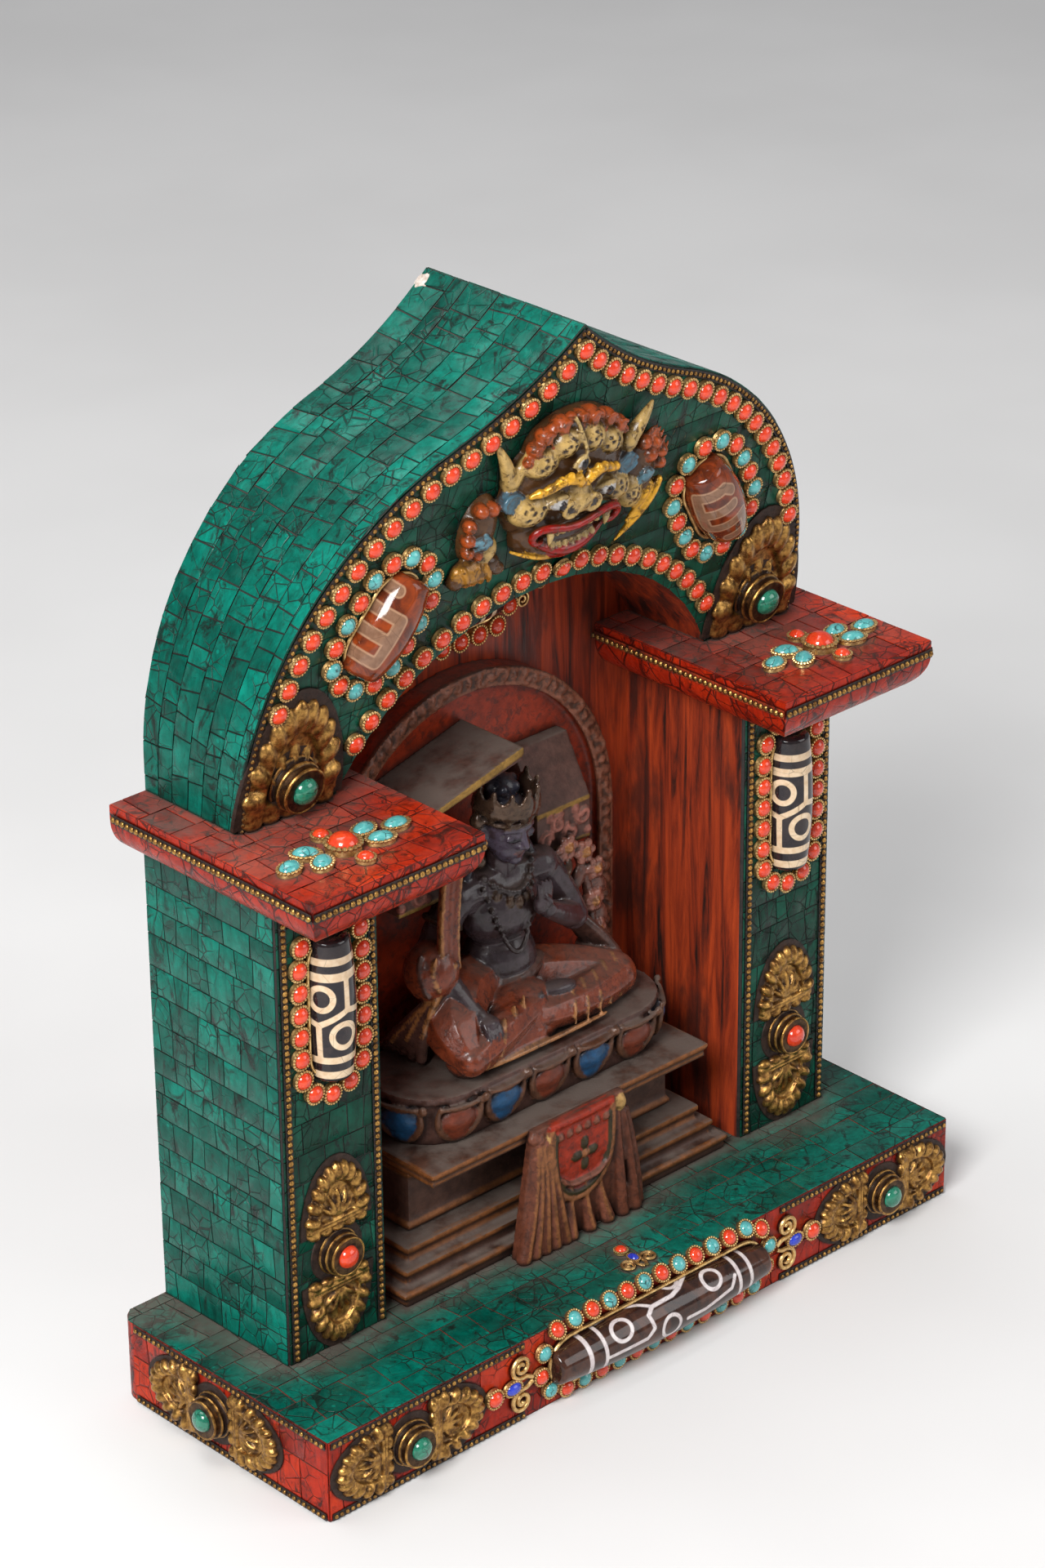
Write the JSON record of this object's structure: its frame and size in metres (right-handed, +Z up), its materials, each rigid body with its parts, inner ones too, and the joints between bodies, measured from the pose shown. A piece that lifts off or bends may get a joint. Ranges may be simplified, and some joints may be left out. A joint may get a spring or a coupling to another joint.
{
  "type": "tabletop shrine niche",
  "caption": "Tabletop shrine niche with a leaning ogee hood on pillars, stone mosaic cladding, set beads and cabochons, and a seated figure on a lotus throne.",
  "frame": {"origin": "middle of the base plinth's underside, on the surface it stands on", "axes": "+Z up, -Y to the front of the niche, +X to the viewer's right"},
  "size_m": [0.2122, 0.0792, 0.2464],
  "materials": {
    "green_mosaic": "polished green stone chips laid in dark resin, crackled",
    "red_mosaic": "polished red stone chips laid in dark resin",
    "red_lacquer": "worn red lacquer with dark streaks",
    "gilt": "antique gilding, dark in the recesses",
    "coral": "polished red cabochons in gilt settings",
    "coral_and_turquoise": "polished red and blue-green cabochons in gilt settings",
    "agate": "polished translucent brown agate with pale lines",
    "banded_bead": "polished black and cream patterned bead",
    "dusty_throne": "dark painted wood under dust",
    "painted_cloth": "carved cloth, worn red paint under dust",
    "bronze": "dark brown patina, worn gilding and dust"
  },
  "bodies": {
    "root": {"base_plinth": "green_mosaic", "base_wires": "gilt", "base_bead": "banded_bead", "base_bead_stones": "coral_and_turquoise", "left_front_plaques": "gilt", "right_front_plaques": "gilt", "left_side_plaques": "gilt", "right_side_plaques": "gilt", "left_pillar": "green_mosaic", "right_pillar": "green_mosaic", "left_pillar_wires": "gilt", "right_pillar_wires": "gilt", "left_pillar_bead": "banded_bead", "right_pillar_bead": "banded_bead", "left_pillar_stones": "coral", "right_pillar_stones": "coral", "left_pillar_plaques": "gilt", "right_pillar_plaques": "gilt", "left_cornice": "red_mosaic", "right_cornice": "red_mosaic", "left_cornice_wire": "gilt", "right_cornice_wire": "gilt", "left_cornice_stones": "coral_and_turquoise", "right_cornice_stones": "coral_and_turquoise", "arch_hood": "green_mosaic", "arch_wires": "gilt", "arch_outer_corals": "coral", "arch_inner_corals": "coral", "left_arch_plaque": "gilt", "right_arch_plaque": "gilt", "left_agate_bead": "agate", "right_agate_bead": "agate", "left_agate_stones": "coral_and_turquoise", "right_agate_stones": "coral_and_turquoise", "beast_mask": "gilt", "back_panel": "red_lacquer", "wall_bead": "banded_bead", "wall_bead_stones": "coral", "throne_foot": "dusty_throne", "throne_waist": "dusty_throne", "throne_table": "dusty_throne", "throne_cloth": "painted_cloth", "lotus_seat": "bronze", "figure": "bronze", "mandorla": "bronze", "head_board": "dusty_throne", "throne_back": "dusty_throne"}
  },
  "joints": []
}
